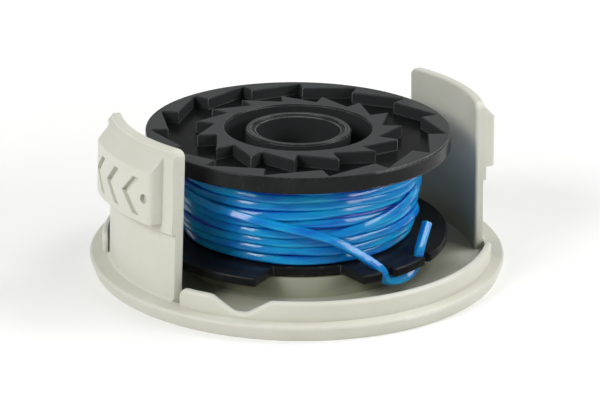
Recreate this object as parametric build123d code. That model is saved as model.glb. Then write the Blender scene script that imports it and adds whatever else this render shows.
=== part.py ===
from build123d import *
from math import atan2, cos, degrees, hypot, radians, sin, tan
import os

# Trimmer line spool standing in its cap, with the line wound on it.
# Millimetres and degrees. The origin is at the middle of the cap's underside, +Z runs up the spool's axis,
# and the cap's two latch arms stand on +X and -X.

# Trimmer line
line_diameter = 2.0
line_clearance = 0.15

# Cap base: a round plate with a tapered rim and a flat ledge, standing on a foot ring
rim_radius = 45.1
rim_taper = 1.2
rim_height = 3.3
rim_edge_round = 0.6
ledge_width = 3.0
floor_thickness = 1.6
foot_ring_width = 7.9
dish_depth = 0.4

# Ring wall on the base, in two stretches, each with one scooped notch
wall_thickness = 1.2
wall_height = 3.95
wall_edge_round = 0.8
wall_corner_round = 2.0
near_wall_start_angle = 207.0
near_wall_end_angle = 323.5
far_wall_start_angle = 27.0
far_wall_end_angle = 159.3
notch_angle = 46.0
notch_depth = 2.85
notch_floor_width = 2.6
notch_mouth_width = 12.0
notch_round = 2.6

# Collar ring on the floor, round the foot of the spool's hub, which keeps the spool in the middle
collar_height = 2.6
collar_thickness = 1.5
collar_clearance = 0.3
collar_chamfer = 0.4

# Latch arms: thin curved plates that lean inwards, thicker in their upper part.
# Both stand a little to the -Y side of the middle, by the shift.
arm_inset = 0.2
arm_foot_cove = 0.6
arm_thickness = 2.0
arm_width = 29.6
arm_shift = 1.7
arm_height = 31.9
arm_lean = 1.8
arm_corner_round = 1.6
arm_edge_round = 0.5
panel_below_top = 17.7
panel_edge_below_top = 1.6
panel_step = 0.65

# Thumb pads on the arms
pad_depth = 3.3
pad_width = 24.4
pad_above_panel_edge = 1.7
pad_face_height = 11.3
pad_ramp_height = 3.8
pad_corner_round = 1.0
pad_edge_round = 0.4

# Chevron grooves and the dot on each pad
chevron_count = 3
chevron_pitch = 7.2
chevron_first = -10.4
chevron_reach = 4.0
chevron_rise = 3.9
chevron_stroke = 1.4
dot_offset = 10.5
dot_width = 2.0
dot_height = 2.0
groove_below_middle = 0.2
groove_depth = 0.9

# Spool flanges, hub and core
flange_radius = 32.5
upper_flange_thickness = 3.55
lower_flange_thickness = 2.0
winding_space = 18.55
flange_edge_round = 0.4
bore_radius = 9.05
hub_thickness = 2.2
hub_below_top = 0.3
hub_lip_width = 1.0
hub_lip_depth = 0.4
hub_foot = 4.5
mouth_chamfer = 0.3
pocket_width = 4.35
core_thickness = 1.6

# Ratchet track sunk in the upper flange, with saw teeth on both sides
tooth_count = 15
track_depth = 2.6
outer_land = 1.2
outer_tooth_height = 3.7
inner_land = 0.8
inner_tooth_height = 4.2
tooth_back_angle = 1.2
tooth_edge_round = 0.3

# Lobes of the lower flange: two recesses and two pairs of line slots
recess_depth = 7.2
recess_angle = -113.5
recess_half_angle = 20.0
recess_flank_angle = 4.0
lobe_corner_round = 0.5
feed_slot_angle = -82.6
feed_slot_width = 3.1
feed_slot_depth = 3.0
park_hole_angle = -62.0
park_hole_inset = 2.0
park_hole_clearance = 0.3
park_mouth_width = 1.6
park_mouth_angle = 3.4

# Wound line: rows of turns, fuller in the upper half; the bulge is the power by which the rows swell upwards
winding_lower_depth = 7.3
winding_upper_depth = 9.5
winding_bulge = 0.5
winding_rows = 9
row_valley_depth = 0.7

# Tail of the line: where it runs down over the winding (angle, height above the lower flange), then through
# the feed slot, in a loop under the flange and up through the parking hole to its cut end
tail_lift = 0.5
tail_over_winding = [(-172.0, 12.3), (-153.0, 11.4), (-134.0, 10.2), (-115.0, 8.3)]
tail_feed_turn = 0.4
tail_feed_inset = 1.4
tail_feed_rise = 0.5
tail_loop_drop = 1.5
tail_park_rise = 0.9
stub_angle = 5.5
stub_height = 5.9
stub_inset = 1.5
tail_radii = [24.0, 24.0, 16.0, 2.1, 2.1, 2.1, 5.0]

# How far a cutter runs past a face, and how far two joined forms run into each other
overlap = 0.5

# How near an edge lies to the face or level that it is picked by
pick_tolerance = 0.1

# Cap levels and radii that follow from the sizes above
rim_foot_radius = rim_radius - rim_taper
dish_radius = rim_foot_radius - foot_ring_width
wall_radius = rim_radius - ledge_width
wall_inner_radius = wall_radius - wall_thickness
wall_top = rim_height + wall_height
notch_floor = wall_top - notch_depth
arm_radius = wall_inner_radius - arm_inset
arm_inner_radius = arm_radius - arm_thickness
arm_top = rim_height + arm_height
panel_radius = arm_radius + panel_step
panel_bottom = arm_top - panel_below_top
panel_top = arm_top - panel_edge_below_top
pad_radius = arm_radius + pad_depth
pad_bottom = panel_bottom + pad_above_panel_edge
pad_face_top = pad_bottom + pad_face_height
pad_ramp_top = pad_face_top + pad_ramp_height
groove_level = pad_bottom + pad_face_height / 2 - groove_below_middle

# Spool levels and radii that follow from the sizes above
line_radius = line_diameter / 2
hub_radius = bore_radius + hub_thickness
pocket_radius = hub_radius + pocket_width
core_radius = pocket_radius + core_thickness
collar_radius = hub_radius + collar_clearance
spool_foot = floor_thickness
lower_flange_bottom = spool_foot + hub_foot
lower_flange_top = lower_flange_bottom + lower_flange_thickness
upper_flange_bottom = lower_flange_top + winding_space
spool_top = upper_flange_bottom + upper_flange_thickness
track_floor = spool_top - track_depth
hub_top = spool_top - hub_below_top
inner_root_radius = core_radius + inner_land
inner_tip_radius = inner_root_radius + inner_tooth_height
outer_root_radius = flange_radius - outer_land
outer_tip_radius = outer_root_radius - outer_tooth_height
recess_radius = flange_radius - recess_depth
winding_lower_radius = core_radius + winding_lower_depth
winding_upper_radius = core_radius + winding_upper_depth


def polar(radius, angle, height=0.0):
    """A point at a distance from the axis, turned from +X."""
    turn = radians(angle)
    return Vector(radius * cos(turn), radius * sin(turn), height)


def turned(points, arc=360.0, start=0.0):
    """The solid that a closed outline of (radius, height) points makes when it turns about the axis."""
    outline = Plane.XZ * make_face(Polyline(*points, close=True))
    return Rot(0, 0, start) * revolve(outline, axis=Axis.Z, revolution_arc=arc)


def radial_plane(radius, angle, height, tilt=0.0):
    """A plane facing away from the axis, with its own Y axis up the part, tilted back towards the axis."""
    outward = polar(cos(radians(tilt)), angle, sin(radians(tilt)))
    sideways = polar(1.0, angle + 90)
    return Plane(origin=polar(radius, angle, height), x_dir=sideways, z_dir=outward)


def lean(radius, height):
    """The radius of a leaning arm face that has this radius at the ledge."""
    return radius - tan(radians(arm_lean)) * (height - rim_height)


def pair(solid):
    """The solid and its copy on the other side of the axis."""
    return [solid, Rot(0, 0, 180) * solid]


# Cap base: rim, ledge, ring wall and floor in one turned outline, with a collar on the floor

def cap_turning():
    turning = turned([
        (0, dish_depth),
        (dish_radius, dish_depth),
        (dish_radius + dish_depth, 0),
        (rim_foot_radius, 0),
        (rim_radius, rim_height),
        (wall_radius, rim_height),
        (wall_radius, wall_top),
        (wall_inner_radius, wall_top),
        (wall_inner_radius, floor_thickness),
        (collar_radius + collar_thickness, floor_thickness),
        (collar_radius + collar_thickness, floor_thickness + collar_height),
        (collar_radius + collar_chamfer, floor_thickness + collar_height),
        (collar_radius, floor_thickness + collar_height - collar_chamfer),
        (collar_radius, floor_thickness),
        (0, floor_thickness),
    ])
    rim_edge = turning.edges().filter_by(GeomType.CIRCLE).sort_by(lambda edge: edge.radius)[-1]
    return fillet(rim_edge, rim_edge_round)


# The wall is cut away beside the arms and scooped out near one end of each stretch

def wall_gap(start, end):
    return turned([
        (wall_inner_radius - overlap, rim_height),
        (wall_radius + overlap, rim_height),
        (wall_radius + overlap, wall_top + overlap),
        (wall_inner_radius - overlap, wall_top + overlap),
    ], end - start, start)


def wall_notch():
    notch = make_face(Polyline(
        (-notch_mouth_width / 2, wall_top),
        (-notch_floor_width / 2, notch_floor),
        (notch_floor_width / 2, notch_floor),
        (notch_mouth_width / 2, wall_top),
        (notch_mouth_width / 2, wall_top + overlap),
        (-notch_mouth_width / 2, wall_top + overlap),
        close=True,
    ))
    notch = fillet(notch.vertices().group_by(Axis.Y)[0], notch_round)
    middle = wall_radius - wall_thickness / 2
    return extrude(radial_plane(middle, notch_angle, 0) * notch, amount=2 * wall_thickness, both=True)


def cap_base():
    base = cap_turning() - wall_gap(far_wall_end_angle, near_wall_start_angle)
    base = base - wall_gap(near_wall_end_angle, 360 + far_wall_start_angle)
    for notch in pair(wall_notch()):
        base = base - notch
    across_top = [edge for edge in base.edges()
                  if abs(edge.center().Z - wall_top) < pick_tolerance and edge.length < 1.5 * wall_thickness]
    base = fillet(across_top, wall_corner_round)
    outer_top = [edge for edge in base.edges()
                 if abs(hypot(edge.center().X, edge.center().Y) - wall_radius) < pick_tolerance
                 and edge.center().Z > rim_height + overlap
                 and abs(edge.tangent_at(0.5).Z) < 0.95]
    return fillet(outer_top, wall_edge_round)


# Latch arm: a curved plate with a thicker upper panel, a thumb pad and its grooves

def arm_slab(points, width, shift):
    """The outline turned about the axis and cut to a straight-sided width, on the +X side."""
    reach = pad_radius + overlap
    block = Pos(reach / 2, shift, arm_top / 2) * Box(reach, width, arm_top)
    return turned(points, 90, -45) & block


def arm_plate(shift):
    plate = arm_slab([
        (arm_inner_radius, floor_thickness - overlap),
        (arm_radius + arm_foot_cove, floor_thickness - overlap),
        (arm_radius + arm_foot_cove, rim_height),
        (lean(arm_radius, rim_height + arm_foot_cove), rim_height + arm_foot_cove),
        (lean(arm_radius, panel_bottom), panel_bottom),
        (lean(panel_radius, panel_bottom), panel_bottom),
        (lean(panel_radius, panel_top), panel_top),
        (lean(arm_radius, panel_top + panel_step), panel_top + panel_step),
        (lean(arm_radius, arm_top), arm_top),
        (lean(arm_inner_radius, arm_top), arm_top),
        (arm_inner_radius, rim_height),
    ], arm_width, shift)
    corners = plate.edges().group_by(Axis.Z)[-1].filter_by(GeomType.LINE)
    plate = fillet(corners, arm_corner_round)
    top_edges = plate.edges().filter_by(GeomType.CIRCLE).group_by(Axis.Z)[-1]
    return fillet(top_edges, arm_edge_round)


def thumb_pad(shift):
    root = arm_radius - overlap
    pad = arm_slab([
        (lean(root, pad_bottom), pad_bottom),
        (lean(pad_radius, pad_bottom), pad_bottom),
        (lean(pad_radius, pad_face_top), pad_face_top),
        (lean(arm_radius, pad_ramp_top), pad_ramp_top),
        (lean(root, pad_ramp_top), pad_ramp_top),
    ], pad_width, shift)
    upright = [edge for edge in pad_face(pad).edges() if abs(edge.tangent_at(0.5).Z) > 0.5]
    pad = fillet(upright, pad_corner_round)
    level = [edge for edge in pad_face(pad).edges() if abs(edge.tangent_at(0.5).Z) < 0.5]
    return fillet(level, pad_edge_round)


def pad_face(pad):
    """The curved outer face of a thumb pad, which lies furthest from the axis."""
    return pad.faces().filter_by(GeomType.CONE).sort_by(lambda face: face.center().X)[-1]


def chevron_groove(offset):
    """One V-shaped groove that points backwards round the cap, with its tip at the offset."""
    slant = atan2(chevron_rise, chevron_reach)
    half = chevron_stroke / 2 / sin(slant)
    stroke = Polyline(
        (-half, 0),
        (chevron_reach - half, chevron_rise),
        (chevron_reach + half, chevron_rise),
        (half, 0),
        (chevron_reach + half, -chevron_rise),
        (chevron_reach - half, -chevron_rise),
        close=True,
    )
    return groove_cutter(make_face(stroke), offset)


def groove_cutter(outline, offset):
    """An outline sunk by the groove depth into the pad's face, at a distance along the pad."""
    middle = lean(pad_radius, groove_level)
    angle = degrees(offset / middle)
    face = radial_plane(middle - groove_depth, angle, groove_level, arm_lean)
    return extrude(face * outline, amount=pad_depth)


def latch_arm(shift):
    """The arm on the +X side, with its middle shifted along Y."""
    arm = arm_plate(shift) + thumb_pad(shift)
    for index in range(chevron_count):
        arm = arm - chevron_groove(shift + chevron_first + index * chevron_pitch)
    return arm - groove_cutter(Ellipse(dot_width / 2, dot_height / 2), shift + dot_offset)


# Upper flange of the spool: the saw-toothed track is sunk between two toothed rings

def saw_outline(tip, root, turn):
    """Closed saw outline: each tooth has a long slope and a short steep back."""
    pitch = 360 / tooth_count
    points = []
    for index in range(tooth_count):
        angle = turn + index * pitch
        points.append(polar(tip, angle))
        points.append(polar(root, angle + tooth_back_angle))
    return make_face(Polyline(*points, close=True))


def upper_flange():
    half_pitch = 180 / tooth_count
    outer = saw_outline(outer_tip_radius, outer_root_radius, half_pitch)
    inner = saw_outline(inner_tip_radius, inner_root_radius, 0)
    disc = Pos(0, 0, upper_flange_bottom) * extrude(Circle(flange_radius), amount=upper_flange_thickness)
    rims = disc.edges().filter_by(GeomType.CIRCLE)
    disc = fillet(rims, flange_edge_round)
    track = Pos(0, 0, track_floor) * extrude(outer - inner, amount=track_depth + overlap)
    disc = disc - track
    tooth_edges = disc.edges().filter_by(GeomType.LINE).group_by(Axis.Z)[-1]
    return fillet(tooth_edges, tooth_edge_round)


# Lower flange of the spool: lobes with recesses, feed slots and parking slots for the line

def recess_cutter():
    reach = flange_radius + overlap
    first = recess_angle - recess_half_angle
    last = recess_angle + recess_half_angle
    floor = ThreePointArc(
        polar(recess_radius, first + recess_flank_angle),
        polar(recess_radius, recess_angle),
        polar(recess_radius, last - recess_flank_angle),
    )
    sides = Polyline(
        polar(recess_radius, last - recess_flank_angle),
        polar(reach, last),
        polar(reach * 1.2, recess_angle),
        polar(reach, first),
        polar(recess_radius, first + recess_flank_angle),
    )
    return make_face([floor, sides])


def slot_cutter(start, end, width):
    """A straight slot with round ends."""
    return SlotCenterToCenter((end - start).length, width).moved(
        Location((start + end) / 2, (0, 0, degrees(atan2(end.Y - start.Y, end.X - start.X)))))


def lower_flange():
    reach = flange_radius + 2 * line_diameter
    outline = Circle(flange_radius)
    feed_end = polar(flange_radius - feed_slot_depth + feed_slot_width / 2, feed_slot_angle)
    hole_centre = polar(flange_radius - park_hole_inset, park_hole_angle)
    hole = Pos(*hole_centre) * Circle(line_radius + park_hole_clearance)
    mouth = slot_cutter(hole_centre, polar(reach, park_hole_angle + park_mouth_angle), park_mouth_width)
    feed = slot_cutter(feed_end, polar(reach, feed_slot_angle), feed_slot_width)
    for cut in (recess_cutter(), feed, hole, mouth):
        for copy in pair(cut):
            outline = outline - copy
    flange = Pos(0, 0, lower_flange_bottom) * extrude(outline, amount=lower_flange_thickness)
    corners = [edge for edge in flange.edges().filter_by(Axis.Z)
               if abs(hypot(edge.center().X, edge.center().Y) - flange_radius) < pick_tolerance
               and abs(edge.center().Y) > pick_tolerance]
    flange = fillet(corners, lobe_corner_round)
    level = flange.edges().filter_by(Axis.Z, reverse=True)
    return fillet(level, flange_edge_round)


# Whole spool: both flanges, the core barrel and the hub tube, moulded in one

def line_spool():
    core = turned([
        (pocket_radius, lower_flange_bottom),
        (core_radius, lower_flange_bottom),
        (core_radius, track_floor),
        (pocket_radius, track_floor),
    ])
    hub = turned([
        (bore_radius, spool_foot),
        (hub_radius, spool_foot),
        (hub_radius, hub_top - mouth_chamfer),
        (hub_radius - mouth_chamfer, hub_top),
        (bore_radius + hub_lip_width, hub_top),
        (bore_radius + hub_lip_width, hub_top - hub_lip_depth),
        (bore_radius, hub_top - hub_lip_depth),
    ])
    pocket = turned([
        (0, lower_flange_top),
        (pocket_radius, lower_flange_top),
        (pocket_radius, spool_top - mouth_chamfer),
        (pocket_radius + mouth_chamfer, spool_top),
        (pocket_radius + mouth_chamfer, spool_top + overlap),
        (0, spool_top + overlap),
    ])
    bore = extrude(Circle(bore_radius), amount=spool_top)
    return (upper_flange() + core + lower_flange()) - pocket - bore + hub


# Wound line: one solid of rounded rows between the flanges

def winding_radius(height):
    """Outer radius of the winding at a height above the lower flange."""
    share = height / winding_space
    return winding_lower_radius + (winding_upper_radius - winding_lower_radius) * share ** winding_bulge


def line_winding():
    pitch = (winding_space - 2 * line_clearance) / winding_rows
    bottom = lower_flange_top + line_clearance
    inner = core_radius + line_clearance
    valleys = []
    for row in range(winding_rows + 1):
        height = line_clearance + row * pitch
        valleys.append((winding_radius(height) - row_valley_depth, lower_flange_top + height))
    rows = []
    for row in range(winding_rows):
        middle = line_clearance + (row + 0.5) * pitch
        crest = (winding_radius(middle), lower_flange_top + middle)
        rows.append(ThreePointArc(valleys[row], crest, valleys[row + 1]))
    top = valleys[-1][1]
    inside = Polyline(valleys[-1], (inner, top), (inner, bottom), valleys[0])
    return revolve(Plane.XZ * make_face(rows + [inside]), axis=Axis.Z)


# Tail of the line: off the winding, down the feed slot, under the flange and up through the parking slot

def tail_route():
    """Corner points of the tail's route, each in its place on the winding or in the lower flange."""
    points = []
    for angle, height in tail_over_winding:
        over = winding_radius(height) + line_radius + tail_lift
        points.append(polar(over, angle, lower_flange_top + height))
    feed_angle = feed_slot_angle + tail_feed_turn
    feed_distance = flange_radius - tail_feed_inset
    park_distance = flange_radius - park_hole_inset
    loop_level = lower_flange_bottom - tail_loop_drop
    points.append(polar(feed_distance, feed_angle, lower_flange_top + tail_feed_rise))
    points.append(polar(feed_distance, feed_angle, loop_level))
    points.append(polar(park_distance, park_hole_angle, loop_level))
    points.append(polar(park_distance, park_hole_angle, lower_flange_top + tail_park_rise))
    points.append(polar(flange_radius - stub_inset, park_hole_angle + stub_angle, lower_flange_top + stub_height))
    return points


def line_tail():
    path = FilletPolyline(*tail_route(), radius=tail_radii)
    section = Plane(origin=path @ 0, z_dir=path % 0) * Circle(line_radius)
    return sweep(section, path=path)


cap = cap_base() + latch_arm(-arm_shift) + Rot(0, 0, 180) * latch_arm(arm_shift)

parts = {
    "spool_cap": cap,
    "line_spool": line_spool(),
    "line_winding": line_winding(),
    "line_tail": line_tail(),
}

os.makedirs("parts", exist_ok=True)
for name, solid in parts.items():
    export_step(solid, f"parts/{name}.step")
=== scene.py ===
import math

import bpy
from mathutils import Matrix, Vector


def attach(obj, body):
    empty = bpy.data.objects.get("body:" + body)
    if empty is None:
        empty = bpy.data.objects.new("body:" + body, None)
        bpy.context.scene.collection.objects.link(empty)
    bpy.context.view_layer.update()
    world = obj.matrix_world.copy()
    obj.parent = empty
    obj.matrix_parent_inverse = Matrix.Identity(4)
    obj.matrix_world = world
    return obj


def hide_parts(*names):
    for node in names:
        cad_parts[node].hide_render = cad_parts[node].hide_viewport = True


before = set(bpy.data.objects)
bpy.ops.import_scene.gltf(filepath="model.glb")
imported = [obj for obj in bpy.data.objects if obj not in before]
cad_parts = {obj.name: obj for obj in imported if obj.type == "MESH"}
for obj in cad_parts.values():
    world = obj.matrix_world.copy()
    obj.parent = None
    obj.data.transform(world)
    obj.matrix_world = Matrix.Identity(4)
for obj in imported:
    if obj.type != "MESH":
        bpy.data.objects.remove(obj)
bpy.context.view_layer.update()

# Spool cap.
# One pale ivory-grey moulding: a round plate with a ring wall and two upright latch arms.
# The plastic is satin, with the faint clouding and fine skin that a spark-eroded mould leaves.
# Painted shade makes it olive where the spool shelters it, darker in corners; edges get painted highlights.

MM = 0.001
CAP_SKIN = {"Cloud Size": 90.0, "Grain Size": 2200.0, "Scuff Size": 300.0}
CAP_EDGES = {"Edge Radius": 0.25 * MM, "Corner Reach": 2.0 * MM}
CAP_IVORY = (0.690, 0.690, 0.595)
CAP_IVORY_PALE = (0.735, 0.735, 0.650)
CAP_SCUFF = (0.80, 0.80, 0.74)
CAP_PAINTED_CORNER_SHADE = (0.50, 0.49, 0.40)
CAP_PAINTED_SHELTER_SHADE = (0.270, 0.280, 0.185)
CAP_PAINTED_EDGE_HIGHLIGHT = (0.83, 0.83, 0.74)
CAP_GRAIN_STRENGTH = 0.12
CAP_GRAIN_DEPTH = 0.05 * MM
CLOUD_DARK = 0.3
CLOUD_LIGHT = 0.7
SHELTER_SHADE_FULL_RADIUS = 39.0 * MM
SHELTER_SHADE_END_RADIUS = 41.0 * MM
SHELTER_SHADE_FULL_OPENNESS = 0.40
SHELTER_SHADE_REACH = 14.0 * MM
MIX_FIRST_COLOUR = 6
MIX_SECOND_COLOUR = 7
MIX_RESULT_COLOUR = 2


def add_node(tree, kind, inputs=None, **settings):
    """A node with its settings and its inputs: a value for a constant, an output socket for a link."""
    node = tree.nodes.new(kind)
    for name, value in settings.items():
        setattr(node, name, value)
    for key, value in (inputs or {}).items():
        if isinstance(value, bpy.types.NodeSocket):
            tree.links.new(value, node.inputs[key])
        else:
            node.inputs[key].default_value = value
    return node


def math_of(tree, operation, first, second=0.0):
    """The result of one sum on two values."""
    return add_node(tree, "ShaderNodeMath", {0: first, 1: second}, operation=operation).outputs[0]


def times(tree, first, second):
    """The product of two values."""
    return math_of(tree, "MULTIPLY", first, second)


def span(tree, value, low, high, start=0.0, stop=1.0):
    """A value that goes straight from low to high while another one goes from start to stop."""
    node = add_node(tree, "ShaderNodeMapRange", {
        "Value": value, "From Min": start, "From Max": stop, "To Min": low, "To Max": high})
    return node.outputs["Result"]


def soft_step(tree, value, start, stop):
    """A mask that goes softly from 0 to 1 while a value goes from start to stop."""
    node = add_node(tree, "ShaderNodeMapRange", {"Value": value, "From Min": start, "From Max": stop},
                    interpolation_type="SMOOTHSTEP")
    return node.outputs["Result"]


def off_axis(tree, place):
    """A place without its height, which points away from the object's upright axis."""
    node = add_node(tree, "ShaderNodeVectorMath", {0: place, 1: (1.0, 1.0, 0.0)}, operation="MULTIPLY")
    return node.outputs["Vector"]


def length_of(tree, vector):
    """The length of a vector."""
    return add_node(tree, "ShaderNodeVectorMath", {0: vector}, operation="LENGTH").outputs["Value"]


def new_group(name, inputs, outputs):
    """An empty shader group with named float inputs and outputs, and its two end nodes."""
    group = bpy.data.node_groups.new(name, "ShaderNodeTree")
    for label, value in inputs.items():
        socket = group.interface.new_socket(label, in_out="INPUT", socket_type="NodeSocketFloat")
        socket.default_value = value
    for label, kind in outputs.items():
        group.interface.new_socket(label, in_out="OUTPUT", socket_type=kind)
    return group, group.nodes.new("NodeGroupInput"), group.nodes.new("NodeGroupOutput")


def moulded_skin_group():
    """Clouding, fine skin and scuffs of a moulded plastic surface, on the piece's own coordinates."""
    group, entry, end = new_group(
        "moulded_skin",
        {"Cloud Size": 120.0, "Grain Size": 2600.0, "Scuff Size": 420.0},
        {"Cloud": "NodeSocketFloat", "Grain": "NodeSocketFloat", "Scuff": "NodeSocketFloat"},
    )
    place = add_node(group, "ShaderNodeTexCoord").outputs["Object"]
    cloud = add_node(group, "ShaderNodeTexNoise", {
        "Vector": place, "Scale": entry.outputs["Cloud Size"], "Detail": 4.0, "Roughness": 0.6})
    grain = add_node(group, "ShaderNodeTexNoise", {
        "Vector": place, "Scale": entry.outputs["Grain Size"], "Detail": 2.0, "Roughness": 0.7})
    upright = add_node(group, "ShaderNodeMapping", {"Vector": place, "Scale": (1.0, 1.0, 0.25)})
    scuff = add_node(group, "ShaderNodeTexNoise", {
        "Vector": upright.outputs["Vector"], "Scale": entry.outputs["Scuff Size"],
        "Detail": 6.0, "Roughness": 0.75})
    scuff_mask = soft_step(group, scuff.outputs["Fac"], start=0.56, stop=0.74)
    group.links.new(cloud.outputs["Fac"], end.inputs["Cloud"])
    group.links.new(grain.outputs["Fac"], end.inputs["Grain"])
    group.links.new(scuff_mask, end.inputs["Scuff"])
    return group


def moulded_edges_group():
    """Rounded normals at a moulding's edges, a mask of its outer edges and one of its inner corners."""
    group, entry, end = new_group(
        "moulded_edges",
        {"Edge Radius": 0.3 * MM, "Corner Reach": 1.5 * MM},
        {"Normal": "NodeSocketVector", "Edge": "NodeSocketFloat", "Corner": "NodeSocketFloat"},
    )
    rounded = add_node(group, "ShaderNodeBevel", {"Radius": entry.outputs["Edge Radius"]}, samples=6)
    true_normal = add_node(group, "ShaderNodeNewGeometry").outputs["True Normal"]
    level = add_node(group, "ShaderNodeVectorMath", {0: rounded.outputs["Normal"], 1: true_normal},
                     operation="DOT_PRODUCT")
    turned = soft_step(group, level.outputs["Value"], start=0.985, stop=0.80)
    openness = add_node(group, "ShaderNodeAmbientOcclusion", {"Distance": entry.outputs["Corner Reach"]},
                        samples=6, only_local=True).outputs["AO"]
    outer = soft_step(group, openness, start=0.60, stop=0.85)
    group.links.new(rounded.outputs["Normal"], end.inputs["Normal"])
    group.links.new(times(group, turned, outer), end.inputs["Edge"])
    group.links.new(math_of(group, "SUBTRACT", 1.0, openness), end.inputs["Corner"])
    return group


def blend_colour(tree, factor, first, second):
    """The colour output of a mix of two colours by a factor."""
    node = add_node(tree, "ShaderNodeMix", {"Factor": factor}, data_type="RGBA")
    for key, value in ((MIX_FIRST_COLOUR, first), (MIX_SECOND_COLOUR, second)):
        if isinstance(value, bpy.types.NodeSocket):
            tree.links.new(value, node.inputs[key])
        else:
            node.inputs[key].default_value = (*value, 1.0)
    return node.outputs[MIX_RESULT_COLOUR]


def grained_normal(tree, skin, edges, strength, depth):
    """The rounded normal of a moulding with the fine skin on it."""
    bump = add_node(tree, "ShaderNodeBump", {
        "Strength": strength, "Distance": depth, "Height": skin["Grain"], "Normal": edges["Normal"]})
    return bump.outputs["Normal"]


def new_material(name):
    """A material with its node tree and its one Principled shader."""
    material = bpy.data.materials.new(name)
    material.use_nodes = True
    tree = material.node_tree
    return material, tree, tree.nodes["Principled BSDF"]


moulded_skin = moulded_skin_group()
moulded_edges = moulded_edges_group()


def cap_plastic_material(name, shelter_shade_weight, shelter_shade_end_openness):
    """Pale satin plastic with painted shade, full in deep shelter and ending at an openness, and painted edge
    highlights.
    """
    material, tree, shader = new_material(name)
    skin = add_node(tree, "ShaderNodeGroup", CAP_SKIN, node_tree=moulded_skin).outputs
    edges = add_node(tree, "ShaderNodeGroup", CAP_EDGES, node_tree=moulded_edges).outputs
    clouds = span(tree, skin["Cloud"], low=0.0, high=1.0, start=CLOUD_DARK, stop=CLOUD_LIGHT)
    clouded = blend_colour(tree, clouds, CAP_IVORY, CAP_IVORY_PALE)
    scuffed = blend_colour(tree, span(tree, skin["Scuff"], low=0.0, high=0.12), clouded, CAP_SCUFF)
    # Painted shade: darker, warmer colour in the inner corners.
    corners = span(tree, edges["Corner"], low=0.0, high=0.30, start=0.25, stop=0.75)
    corner_shaded = blend_colour(tree, corners, scuffed, CAP_PAINTED_CORNER_SHADE)
    # Painted shade: a dull olive over the inside of the cap, full where little light reaches.
    place = add_node(tree, "ShaderNodeTexCoord").outputs["Object"]
    distance = length_of(tree, off_axis(tree, place))
    inside = span(tree, distance, low=1.0, high=0.0, start=SHELTER_SHADE_FULL_RADIUS, stop=SHELTER_SHADE_END_RADIUS)
    openness = add_node(tree, "ShaderNodeAmbientOcclusion", {"Distance": SHELTER_SHADE_REACH}, samples=8).outputs["AO"]
    sheltered = span(tree, openness, low=shelter_shade_weight, high=0.0,
                     start=SHELTER_SHADE_FULL_OPENNESS, stop=shelter_shade_end_openness)
    shelter_shaded = blend_colour(tree, times(tree, inside, sheltered), corner_shaded, CAP_PAINTED_SHELTER_SHADE)
    # Painted highlight: paler colour on the outer edges.
    colour = blend_colour(tree, span(tree, edges["Edge"], low=0.0, high=0.45), shelter_shaded, CAP_PAINTED_EDGE_HIGHLIGHT)
    tree.links.new(colour, shader.inputs["Base Color"])
    tree.links.new(span(tree, skin["Cloud"], low=0.34, high=0.46), shader.inputs["Roughness"])
    normal = grained_normal(tree, skin, edges, CAP_GRAIN_STRENGTH, CAP_GRAIN_DEPTH)
    tree.links.new(normal, shader.inputs["Normal"])
    shader.inputs["Specular IOR Level"].default_value = 0.42
    return material


def dress_node(name, material):
    """Puts one finish on a carried-over CAD node."""
    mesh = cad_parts[name].data
    mesh.materials.clear()
    mesh.materials.append(material)


# The cap's plastic, with its painted shade at part strength.
cap_plastic = cap_plastic_material("cap_plastic", shelter_shade_weight=0.70, shelter_shade_end_openness=0.92)
dress_node("spool_cap", cap_plastic)

# Seat ring of the cap.
# A low drafted ring on the cap's floor, moulded with the cap, close under the spool's lower flange.
# Its face shows between the lobes of that flange, and the painted shade lies thicker on it.

SEAT_OUTLINE = [
    (23.9, 1.5), (26.0, 1.5), (25.4, 5.4), (25.2, 5.7), (24.9, 5.8), (24.3, 5.8), (23.9, 5.4),
]
SEAT_STEPS = 128
SHARP_FROM = math.radians(40.0)
FULL_TURN = 360.0


def round_place(angle, height, distance):
    """A point in metres, from degrees round the axis, a height and a distance from it in millimetres."""
    turn = math.radians(angle)
    return Vector((distance * math.cos(turn), distance * math.sin(turn), height)) * MM


def turned_ring(name, outline, steps, material):
    """A closed ring from an outline of distances from the axis and heights, both in millimetres."""
    points = []
    faces = []
    corners = len(outline)
    for step in range(steps):
        for distance, height in outline:
            points.append(round_place(FULL_TURN * step / steps, height, distance))
        here = step * corners
        there = (step + 1) % steps * corners
        for corner in range(corners):
            after = (corner + 1) % corners
            faces.append((here + corner, there + corner, there + after, here + after))
    mesh = bpy.data.meshes.new(name)
    mesh.from_pydata(points, [], faces)
    mesh.polygons.foreach_set("use_smooth", [True] * len(faces))
    mesh.set_sharp_from_angle(angle=SHARP_FROM)
    mesh.materials.append(material)
    ring = bpy.data.objects.new(name, mesh)
    bpy.context.scene.collection.objects.link(ring)
    return ring


# A copy of the cap's plastic with stronger painted shade.
seat_shaded_plastic = cap_plastic_material("cap_plastic_seat_shaded", shelter_shade_weight=1.0, shelter_shade_end_openness=1.7)
seat_ring = turned_ring("cap_seat_ring", SEAT_OUTLINE, SEAT_STEPS, seat_shaded_plastic)
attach(seat_ring, "root")

# Line spool.
# A charcoal moulding of filled nylon: a hub tube, a core and two flanges, the upper one with a toothed track.
# It stands on the cap's floor, and its surface is satin black with a coarse speckle and painted edge
# highlights.
# A painted sheen makes the top lands, the teeth and the bore paler, and painted shade keeps the sunk track
# dark.

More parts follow.
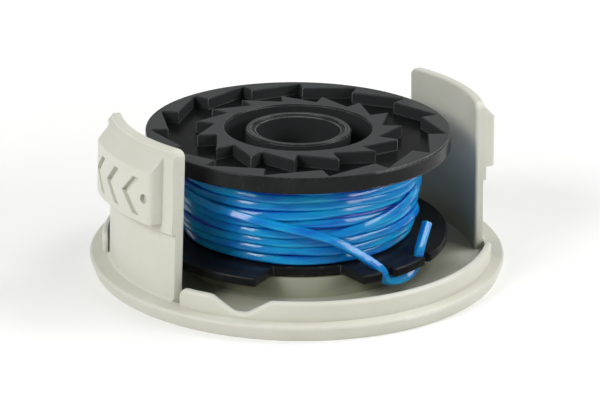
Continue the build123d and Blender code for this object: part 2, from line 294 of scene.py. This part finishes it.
SPOOL_SKIN = {"Cloud Size": 220.0, "Grain Size": 1500.0, "Scuff Size": 600.0}
SPOOL_EDGES = {"Edge Radius": 0.5 * MM, "Corner Reach": 1.5 * MM}
SPOOL_BLACK = (0.0085, 0.0090, 0.0096)
SPOOL_BLACK_PALE = (0.0165, 0.0172, 0.0178)
SPOOL_PAINTED_TOP_SHEEN = (0.066, 0.0692, 0.0706)
SPOOL_PAINTED_SIDE_SHEEN = (0.052, 0.0542, 0.0555)
SPOOL_PAINTED_TRACK_SHADE = (0.0035, 0.0038, 0.0042)
SPOOL_SCUFF = (0.052, 0.055, 0.055)
SPOOL_PAINTED_EDGE_HIGHLIGHT = (0.300, 0.312, 0.302)
SPOOL_PAINTED_LOBE_HIGHLIGHT = (0.520, 0.538, 0.522)
SPOOL_GRAIN_STRENGTH = 0.35
SPOOL_GRAIN_DEPTH = 0.06 * MM
LAND_START = 29.4 * MM
LAND_FULL = 29.65 * MM
TRACK_START = 28.6 * MM
TRACK_FULL = 27.9 * MM
SIDE_SHEEN_RADIUS = 31.6 * MM
SIDE_SHEEN_END_RADIUS = 31.9 * MM
LOWER_FLANGE_FULL = 9.0 * MM
LOWER_FLANGE_END = 12.0 * MM
UPPER_PART_FULL = 13.0 * MM


def height_of(tree, vector):
    """The upright part of a vector."""
    return add_node(tree, "ShaderNodeSeparateXYZ", {"Vector": vector}).outputs["Z"]


def spool_plastic_material():
    """Satin black plastic with a coarse speckle, painted sheen and highlights, and painted shade in the
    track.
    """
    material, tree, shader = new_material("spool_plastic")
    spot = add_node(tree, "ShaderNodeTexCoord").outputs
    height = height_of(tree, spot["Object"])
    facing = height_of(tree, spot["Normal"])
    upward = span(tree, facing, low=0.0, high=1.0, start=0.75, stop=0.95)
    sideways = span(tree, facing, low=1.0, high=0.0, start=0.5, stop=0.75)
    upper_part = span(tree, height, low=0.0, high=0.55, start=LOWER_FLANGE_END, stop=UPPER_PART_FULL)
    lower_flange = span(tree, height, low=0.0, high=1.0, start=LOWER_FLANGE_END, stop=LOWER_FLANGE_FULL)
    # Painted sheen: paler colour on the upward faces at the top of the spool.
    land = times(tree, upward, span(tree, height, low=0.0, high=0.75, start=LAND_START, stop=LAND_FULL))
    # Painted shade: darker colour on the floor of the sunk track.
    sunk = span(tree, height, low=0.0, high=1.0, start=TRACK_START, stop=TRACK_FULL)
    track = times(tree, upward, times(tree, sunk, upper_part))
    # Painted sheen: paler colour on upright faces near the axis in the spool's upper part.
    distance = length_of(tree, off_axis(tree, spot["Object"]))
    within = span(tree, distance, low=1.0, high=0.0, start=SIDE_SHEEN_RADIUS, stop=SIDE_SHEEN_END_RADIUS)
    side = times(tree, times(tree, sideways, within), upper_part)
    skin = add_node(tree, "ShaderNodeGroup", SPOOL_SKIN, node_tree=moulded_skin).outputs
    edges = add_node(tree, "ShaderNodeGroup", SPOOL_EDGES, node_tree=moulded_edges).outputs
    clouds = span(tree, skin["Cloud"], low=0.0, high=1.0, start=CLOUD_DARK, stop=CLOUD_LIGHT)
    clouded = blend_colour(tree, clouds, SPOOL_BLACK, SPOOL_BLACK_PALE)
    top_sheened = blend_colour(tree, land, clouded, SPOOL_PAINTED_TOP_SHEEN)
    side_sheened = blend_colour(tree, side, top_sheened, SPOOL_PAINTED_SIDE_SHEEN)
    track_shaded = blend_colour(tree, track, side_sheened, SPOOL_PAINTED_TRACK_SHADE)
    scuffed = blend_colour(tree, span(tree, skin["Scuff"], low=0.0, high=0.36), track_shaded, SPOOL_SCUFF)
    # Painted highlight: paler colour on the outer edges in patches, strongest on the lower flange's lobes.
    patches = span(tree, skin["Cloud"], low=0.25, high=1.0, start=0.40, stop=0.62)
    edge_highlight = blend_colour(tree, lower_flange, SPOOL_PAINTED_EDGE_HIGHLIGHT, SPOOL_PAINTED_LOBE_HIGHLIGHT)
    colour = blend_colour(tree, times(tree, edges["Edge"], patches), scuffed, edge_highlight)
    tree.links.new(colour, shader.inputs["Base Color"])
    tree.links.new(span(tree, skin["Cloud"], low=0.16, high=0.30), shader.inputs["Roughness"])
    normal = grained_normal(tree, skin, edges, SPOOL_GRAIN_STRENGTH, SPOOL_GRAIN_DEPTH)
    tree.links.new(normal, shader.inputs["Normal"])
    shader.inputs["Specular IOR Level"].default_value = 0.12
    return material


dress_node("line_spool", spool_plastic_material())

# Trimmer line, wound.
# Several metres of 2 mm blue nylon line, wound by machine in rows between the flanges.
# The turns lie side by side, wander a little, and the layer below shows through where they part.

LINE_RADIUS = 1.0 * MM
WOUND_CORNER_SHARE = 0.60
CORNER_STEPS = 6
LINE_TILT = math.radians(-22.0)
STEPS_IN_TURN = 72
WINDING_LOW = 8.25 * MM
WINDING_HIGH = 26.5 * MM
WINDING_SWELL = 1.9 * MM
OUTER_LOWER_RADIUS = 23.9 * MM
UNDER_LAYER_STEP = 0.85 * LINE_RADIUS
UNDER_LOWER_RADIUS = OUTER_LOWER_RADIUS - UNDER_LAYER_STEP
JOG_ANGLE = math.radians(70.0)
WANDER_AROUND = 45.0
WANDER_PER_TURN = 2.7
OPEN_BLUES = ((0.003, 0.170, 0.640), (0.001, 0.430, 0.800))
OPEN_HOLLOW_PAINTED_GLOW = (0.015, 0.125, 0.640)
BURIED_PAINTED_SHADE_BLUES = ((0.050, 0.100, 0.560), (0.075, 0.120, 0.620))
BURIED_HOLLOW_GLOW_AND_SHADE = (0.075, 0.110, 0.620)
STREAK_SIZE = 95.0
STREAK_FLATNESS = 6.0


def nylon_line_material(name, hollow_glow_colour, crown_colours):
    """Glossy blue nylon with a painted glow of violet blue in the hollows between turns, for light through
    it.
    """
    material, tree, shader = new_material(name)
    spot = add_node(tree, "ShaderNodeTexCoord").outputs
    outward = add_node(tree, "ShaderNodeVectorMath", {0: off_axis(tree, spot["Object"])},
                       operation="NORMALIZE")
    crest = add_node(tree, "ShaderNodeVectorMath", {0: outward.outputs["Vector"], 1: spot["Normal"]},
                     operation="DOT_PRODUCT").outputs["Value"]
    along = add_node(tree, "ShaderNodeMapping", {
        "Vector": spot["Object"], "Scale": (1.0, 1.0, STREAK_FLATNESS)})
    streak = add_node(tree, "ShaderNodeTexNoise", {
        "Vector": along.outputs["Vector"], "Scale": STREAK_SIZE, "Detail": 3.0,
        "Roughness": 0.55}).outputs["Fac"]
    crown = blend_colour(tree, span(tree, streak, low=0.0, high=1.0, start=0.32, stop=0.68), *crown_colours)
    # Painted glow: faces that do not point away from the axis take the hollow colour.
    open_side = span(tree, crest, low=0.0, high=1.0, start=0.15, stop=0.85)
    tree.links.new(blend_colour(tree, open_side, hollow_glow_colour, crown), shader.inputs["Base Color"])
    tree.links.new(span(tree, streak, low=0.10, high=0.16), shader.inputs["Roughness"])
    shader.inputs["Specular IOR Level"].default_value = 0.5
    shader.inputs["Subsurface Weight"].default_value = 0.6
    shader.inputs["Subsurface Radius"].default_value = (0.4, 0.9, 1.5)
    shader.inputs["Subsurface Scale"].default_value = 1.4 * MM
    return material


nylon_line = nylon_line_material("nylon_line", OPEN_HOLLOW_PAINTED_GLOW, OPEN_BLUES)
# The buried layer's copy of the line is darker and more violet: painted shade under the outer turns.
shaded_buried_line = nylon_line_material("nylon_line_buried_shaded", BURIED_HOLLOW_GLOW_AND_SHADE, BURIED_PAINTED_SHADE_BLUES)


def line_along(tree, path, radius, corner_share, material):
    """Nodes that give a path the line's section, a square with well rounded corners, and finish the mesh."""
    upright = add_node(tree, "GeometryNodeSetCurveNormal", {"Curve": path}, mode="Z_UP")
    across = times(tree, radius, 2.0)
    square = add_node(tree, "GeometryNodeCurvePrimitiveQuadrilateral", {"Width": across, "Height": across})
    rounded = add_node(tree, "GeometryNodeFilletCurve", {
        "Curve": square.outputs["Curve"], "Radius": times(tree, radius, corner_share),
        "Limit Radius": True, "Count": CORNER_STEPS}, mode="POLY")
    section = add_node(tree, "GeometryNodeTransform", {
        "Geometry": rounded.outputs["Curve"], "Rotation": (0.0, 0.0, LINE_TILT)})
    tube = add_node(tree, "GeometryNodeCurveToMesh", {
        "Curve": upright.outputs["Curve"], "Profile Curve": section.outputs["Geometry"], "Fill Caps": True})
    smooth = add_node(tree, "GeometryNodeSetShadeSmooth", {"Geometry": tube.outputs["Mesh"]})
    realized = add_node(tree, "GeometryNodeRealizeInstances", {"Geometry": smooth.outputs["Geometry"]})
    dressed = add_node(tree, "GeometryNodeSetMaterial", {
        "Geometry": realized.outputs["Geometry"], "Material": material})
    return dressed.outputs["Geometry"]


def new_line_tree(name, sizes):
    """A geometry-nodes tree with named sizes, a material and a geometry on both sides, and its two ends."""
    tree = bpy.data.node_groups.new(name, "GeometryNodeTree")
    tree.interface.new_socket("Geometry", in_out="INPUT", socket_type="NodeSocketGeometry")
    for label, value in sizes.items():
        socket = tree.interface.new_socket(label, in_out="INPUT", socket_type="NodeSocketFloat")
        socket.default_value = value
    tree.interface.new_socket("Material", in_out="INPUT", socket_type="NodeSocketMaterial")
    tree.interface.new_socket("Geometry", in_out="OUTPUT", socket_type="NodeSocketGeometry")
    return tree, tree.nodes.new("NodeGroupInput"), tree.nodes.new("NodeGroupOutput")


def wound_layer_tree():
    """Geometry nodes that wind one layer: level rows, each stepping up to the next one in a short jog."""
    tree, entry, end = new_line_tree("wound_layer", {
        "Rows": 9.0, "Jog": 0.16, "Jog Angle": 0.0, "Bottom": 0.0, "Rise": 0.0, "Lower Radius": 0.0,
        "Swell": 0.0, "Bulge": 0.5, "Line Radius": LINE_RADIUS, "Side Wander": 0.0,
        "Outward Wander": 0.0, "Seed": 0.0})
    tree.interface.new_socket("Right Handed", in_out="INPUT", socket_type="NodeSocketBool")
    given = entry.outputs
    turns = math_of(tree, "SUBTRACT", given["Rows"], given["Jog"])
    circle = add_node(tree, "GeometryNodeCurveSpiral", {
        "Resolution": STEPS_IN_TURN, "Rotations": turns, "Start Radius": given["Lower Radius"],
        "End Radius": given["Lower Radius"], "Height": 0.0, "Reverse": given["Right Handed"]})
    place = add_node(tree, "GeometryNodeInputPosition").outputs["Position"]
    across = add_node(tree, "ShaderNodeSeparateXYZ", {"Vector": place}).outputs
    count = times(tree, add_node(tree, "GeometryNodeSplineParameter").outputs["Factor"], turns)
    level_part = math_of(tree, "SUBTRACT", 1.0, given["Jog"])
    jog = soft_step(tree, math_of(tree, "FRACT", count), start=level_part, stop=1.0)
    row = math_of(tree, "ADD", math_of(tree, "FLOOR", count), jog)
    share = math_of(tree, "DIVIDE", row, math_of(tree, "SUBTRACT", given["Rows"], 1.0))
    spot = add_node(tree, "ShaderNodeCombineXYZ", {
        "X": times(tree, across["X"], WANDER_AROUND), "Y": times(tree, across["Y"], WANDER_AROUND),
        "Z": times(tree, count, WANDER_PER_TURN)})
    shake = add_node(tree, "ShaderNodeTexNoise", {
        "Vector": spot.outputs["Vector"], "W": given["Seed"], "Scale": 1.0, "Detail": 1.0},
        noise_dimensions="4D")
    parts = add_node(tree, "ShaderNodeSeparateXYZ", {"Vector": shake.outputs["Color"]}).outputs
    swell = times(tree, math_of(tree, "POWER", share, given["Bulge"]), given["Swell"])
    outward_shake = times(tree, math_of(tree, "SUBTRACT", parts["X"], 0.5), given["Outward Wander"])
    side_shake = times(tree, math_of(tree, "SUBTRACT", parts["Y"], 0.5), given["Side Wander"])
    outward = add_node(tree, "ShaderNodeVectorMath", {0: place}, operation="NORMALIZE")
    push = add_node(tree, "ShaderNodeVectorMath", {
        0: outward.outputs["Vector"], "Scale": math_of(tree, "ADD", swell, outward_shake)}, operation="SCALE")
    height = math_of(tree, "ADD", times(tree, share, given["Rise"]), given["Bottom"])
    above_flange = math_of(tree, "MAXIMUM", math_of(tree, "ADD", side_shake, height), given["Bottom"])
    top = math_of(tree, "ADD", given["Bottom"], given["Rise"])
    lift = add_node(tree, "ShaderNodeCombineXYZ", {"Z": math_of(tree, "MINIMUM", above_flange, top)})
    offset = add_node(tree, "ShaderNodeVectorMath", {0: push.outputs["Vector"], 1: lift.outputs["Vector"]},
                      operation="ADD")
    moved = add_node(tree, "GeometryNodeSetPosition", {
        "Geometry": circle.outputs["Curve"], "Offset": offset.outputs["Vector"]})
    jog_turn = add_node(tree, "ShaderNodeCombineXYZ", {"Z": given["Jog Angle"]}).outputs["Vector"]
    turned = add_node(tree, "GeometryNodeTransform", {
        "Geometry": moved.outputs["Geometry"], "Rotation": jog_turn}).outputs["Geometry"]
    dressed = line_along(tree, turned, given["Line Radius"], WOUND_CORNER_SHARE, given["Material"])
    tree.links.new(dressed, end.inputs["Geometry"])
    return tree


def run_tree(name, tree, values, start=None):
    """The plain mesh object that a geometry-nodes tree makes from its named inputs and its start."""
    holder = bpy.data.objects.new(name + "_maker", start or bpy.data.meshes.new(name + "_start"))
    bpy.context.scene.collection.objects.link(holder)
    modifier = holder.modifiers.new("make", "NODES")
    modifier.node_group = tree
    sockets = {item.name: item.identifier for item in tree.interface.items_tree if item.in_out == "INPUT"}
    for label, value in values.items():
        modifier[sockets[label]] = value
    view = bpy.context.evaluated_depsgraph_get()
    mesh = bpy.data.meshes.new_from_object(holder.evaluated_get(view))
    holder.modifiers.remove(modifier)
    bpy.data.objects.remove(holder)
    piece = bpy.data.objects.new(name, mesh)
    bpy.context.scene.collection.objects.link(piece)
    return piece


def stand_for(piece, node):
    """Puts a length of line on the body in the place of its CAD node."""
    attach(piece, "root")
    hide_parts(node)


wound_layer = wound_layer_tree()


def wind(name, rows, margin, lower_radius, side_wander, outward_wander, seed, right_handed, material):
    """One layer of rows between the flanges, with its jogs on the far side from the feed slot."""
    low = WINDING_LOW + LINE_RADIUS + margin
    high = WINDING_HIGH - LINE_RADIUS - margin
    layer = run_tree(name, wound_layer, {
        "Rows": rows, "Jog Angle": JOG_ANGLE, "Bottom": low, "Rise": high - low,
        "Lower Radius": lower_radius, "Swell": WINDING_SWELL, "Line Radius": LINE_RADIUS,
        "Side Wander": side_wander, "Outward Wander": outward_wander, "Seed": seed,
        "Right Handed": right_handed, "Material": material})
    stand_for(layer, "line_winding")


wind("line_layer_under", rows=8.0, margin=LINE_RADIUS, lower_radius=UNDER_LOWER_RADIUS,
     side_wander=1.2 * MM, outward_wander=0.3 * MM, seed=3.0, right_handed=False, material=shaded_buried_line)
wind("line_layer_outer", rows=9.0, margin=0.0, lower_radius=OUTER_LOWER_RADIUS,
     side_wander=2.8 * MM, outward_wander=2.2 * MM, seed=11.0, right_handed=True, material=nylon_line)

# Trimmer line, loose turn and tail.
# One loose turn crosses the rows on the right. The line's free end comes off the winding, drops through
# the feed slot of the lower flange, passes under it and is pinched in the parking slot, its cut end up.
# A route lists angles in degrees, with heights and distances from the axis in millimetres.

LOOSE_ROUTE = [
    (-140.0, 12.8, 23.8), (-124.0, 13.6, 24.3), (-112.0, 14.2, 24.8), (-104.0, 14.7, 25.2),
    (-97.0, 15.3, 25.8), (-90.0, 16.0, 26.3), (-82.0, 16.8, 26.5), (-73.8, 17.4, 26.6),
    (-63.2, 18.3, 26.5), (-52.6, 19.5, 26.2), (-40.0, 20.9, 25.8), (-25.0, 22.0, 25.4),
    (-5.0, 22.8, 25.0), (20.0, 23.2, 24.5),
]
TAIL_ROUTE = [
    (-300.0, 22.8, 25.2), (-282.0, 22.4, 26.3), (-262.0, 22.0, 27.2), (-240.0, 21.6, 27.5),
    (-218.0, 21.2, 27.4), (-196.0, 20.7, 27.4), (-176.0, 20.3, 27.4), (-160.0, 19.75, 27.35),
    (-148.2, 19.3, 27.3), (-136.0, 18.6, 27.3), (-126.0, 17.7, 27.25), (-116.0, 16.7, 27.25),
    (-108.0, 15.5, 27.35), (-103.0, 14.6, 27.55), (-97.9, 13.3, 28.0), (-92.8, 11.6, 28.6),
    (-89.4, 10.3, 29.3), (-86.6, 9.1, 29.8), (-84.3, 8.1, 30.3), (-82.9, 6.9, 30.6),
    (-82.0, 5.5, 30.6), (-78.4, 4.5, 30.6), (-73.8, 4.2, 30.5), (-69.0, 4.3, 30.4),
    (-66.0, 4.9, 30.4), (-63.6, 5.9, 30.4), (-62.3, 7.2, 30.5), (-61.5, 9.0, 30.5),
    (-57.8, 11.3, 30.3), (-54.0, 13.65, 30.2),
]
TAIL_HOLLOW_PAINTED_GLOW = (0.006, 0.330, 0.720)
TAIL_HALF_WIDTH = 0.88 * MM
ROUTE_CORNER_SHARE = 0.40
ROUTE_STEPS = 8
TAIL_TURN = math.radians(-8.0)
STUB_TURN = math.radians(-19.0)
STUB_POINTS = 4


def line_on_route_tree():
    """Geometry nodes that give a route the line's section."""
    tree, entry, end = new_line_tree("line_on_route", {"Line Radius": LINE_RADIUS})
    given = entry.outputs
    dressed = line_along(tree, given["Geometry"], given["Line Radius"], ROUTE_CORNER_SHARE, given["Material"])
    tree.links.new(dressed, end.inputs["Geometry"])
    return tree


line_on_route = line_on_route_tree()


def routed_line(name, route, half_width, material, turn, end_turn):
    """A strand of the line along a route, with the turn of its section on the way and in its last points."""
    curve = bpy.data.curves.new(name + "_route", "CURVE")
    curve.dimensions = "3D"
    curve.resolution_u = ROUTE_STEPS
    spline = curve.splines.new("NURBS")
    spline.points.add(len(route) - 1)
    for point, place in zip(spline.points, route):
        point.co = (*round_place(*place), 1.0)
        point.tilt = turn
    for point in spline.points[-STUB_POINTS:]:
        point.tilt = end_turn
    spline.order_u = 3
    spline.use_endpoint_u = True
    return run_tree(name, line_on_route, {"Line Radius": half_width, "Material": material}, curve)


# The tail's copy has a lighter painted glow in its hollows.
tail_line = nylon_line_material("nylon_line_tail", TAIL_HOLLOW_PAINTED_GLOW, OPEN_BLUES)
loose_turn = routed_line("line_turn_loose", LOOSE_ROUTE, LINE_RADIUS, nylon_line, turn=0.0, end_turn=0.0)
tail = routed_line("trimmer_line_tail", TAIL_ROUTE, TAIL_HALF_WIDTH, tail_line, TAIL_TURN, STUB_TURN)
stand_for(loose_turn, "line_winding")
stand_for(tail, "line_tail")

# Floor and background.
# A plain pale floor that shows white to the camera and still takes the object's soft shadow.
# It glows more further out, where the lamps light it less, and the world is an even white.

FLOOR_SIZE = 4.0
FLOOR_COLOUR = (0.80, 0.80, 0.79, 1.0)
FLOOR_ROUGHNESS = 0.9
NEAR_GLOW = 0.24
FAR_GLOW = 0.75
GLOW_FROM = 90.0 * MM
GLOW_TO = 600.0 * MM
WHITE = (1.0, 1.0, 1.0, 1.0)
WORLD_LIGHT = 0.22


def floor_material():
    """A matt pale floor with a white glow that only the camera, reflections and refractions see."""
    material, tree, shader = new_material("pale_floor")
    shader.inputs["Base Color"].default_value = FLOOR_COLOUR
    shader.inputs["Roughness"].default_value = FLOOR_ROUGHNESS
    path = add_node(tree, "ShaderNodeLightPath").outputs
    mirrored = math_of(tree, "MAXIMUM", path["Is Camera Ray"], path["Is Glossy Ray"])
    seen = math_of(tree, "MAXIMUM", mirrored, path["Is Transmission Ray"])
    spot = add_node(tree, "ShaderNodeTexCoord").outputs["Object"]
    level = span(tree, length_of(tree, spot), low=NEAR_GLOW, high=FAR_GLOW, start=GLOW_FROM, stop=GLOW_TO)
    glow = add_node(tree, "ShaderNodeEmission", {"Color": WHITE, "Strength": times(tree, seen, level)})
    both = add_node(tree, "ShaderNodeAddShader", {0: shader.outputs["BSDF"], 1: glow.outputs["Emission"]})
    tree.links.new(both.outputs["Shader"], tree.nodes["Material Output"].inputs["Surface"])
    return material


def floor_piece():
    """One flat square under the object."""
    half = FLOOR_SIZE / 2
    corners = [(-half, -half, 0), (half, -half, 0), (half, half, 0), (-half, half, 0)]
    mesh = bpy.data.meshes.new("floor")
    mesh.from_pydata(corners, [], [(0, 1, 2, 3)])
    mesh.materials.append(floor_material())
    floor = bpy.data.objects.new("floor", mesh)
    bpy.context.scene.collection.objects.link(floor)
    return floor


floor_piece()

world = bpy.data.worlds.new("studio")
bpy.context.scene.world = world
world.use_nodes = True
background = world.node_tree.nodes["Background"]
background.inputs["Color"].default_value = WHITE
background.inputs["Strength"].default_value = WORLD_LIGHT

# Studio light.
# A large box high behind the object and a small one beyond the right arm leave the cap's floor
# in the shade of the flange and of that arm.
# A bright box on the left and a low wide one on the right give the line its two rows of streaks.

LOOK_AT = Vector((0.466, -0.253, 13.54)) * MM
SOFT_BOX_DISTANCE = 0.9


def soft_box(name, azimuth, elevation, width, height, power):
    """A rectangular soft box that faces the object; azimuth is counted from +X in degrees."""
    turn = math.radians(azimuth)
    tilt = math.radians(elevation)
    away = Vector((math.cos(tilt) * math.cos(turn), math.cos(tilt) * math.sin(turn), math.sin(tilt)))
    place = LOOK_AT + SOFT_BOX_DISTANCE * away
    lamp = bpy.data.lights.new(name, "AREA")
    lamp.shape = "RECTANGLE"
    lamp.size = width
    lamp.size_y = height
    lamp.energy = power
    holder = bpy.data.objects.new(name, lamp)
    bpy.context.scene.collection.objects.link(holder)
    facing = (LOOK_AT - place).to_track_quat("-Z", "Y").to_matrix().to_4x4()
    holder.matrix_world = Matrix.Translation(place) @ facing


soft_box("soft_box_right", azimuth=-48.0, elevation=24.0, width=0.72, height=0.22, power=3.2)
soft_box("soft_box_left", azimuth=-171.0, elevation=34.0, width=0.40, height=0.42, power=4.4)
soft_box("soft_box_high", azimuth=62.0, elevation=75.0, width=0.9, height=0.9, power=1.2)
soft_box("soft_box_high_right", azimuth=-8.0, elevation=48.0, width=0.34, height=0.34, power=2.6)

# Camera.
# It stands where the photograph was taken from, a little above the object,
# and is turned slightly about its view.

EYE = Vector((-200.85, -371.01, 170.10)) * MM
FOCAL_PIXELS = 2086.71
IMAGE_WIDTH = 600
SENSOR_WIDTH = 36.0
NEAREST = 0.01
FARTHEST = 20.0
ROLL = math.radians(0.66)


def photo_camera():
    """The camera at the photograph's place, with its focal length and roll."""
    data = bpy.data.cameras.new("camera")
    data.sensor_fit = "HORIZONTAL"
    data.sensor_width = SENSOR_WIDTH
    data.lens = FOCAL_PIXELS * SENSOR_WIDTH / IMAGE_WIDTH
    data.clip_start = NEAREST
    data.clip_end = FARTHEST
    camera = bpy.data.objects.new("camera", data)
    bpy.context.scene.collection.objects.link(camera)
    ahead = (LOOK_AT - EYE).normalized()
    right = ahead.cross(Vector((0, 0, 1))).normalized()
    up = right.cross(ahead)
    rolled_right = math.cos(ROLL) * right + math.sin(ROLL) * up
    rolled_up = math.cos(ROLL) * up - math.sin(ROLL) * right
    turn = Matrix((rolled_right, rolled_up, -ahead)).transposed()
    camera.matrix_world = Matrix.Translation(EYE) @ turn.to_4x4()
    bpy.context.scene.camera = camera


photo_camera()
bpy.context.scene.view_settings.view_transform = "Standard"
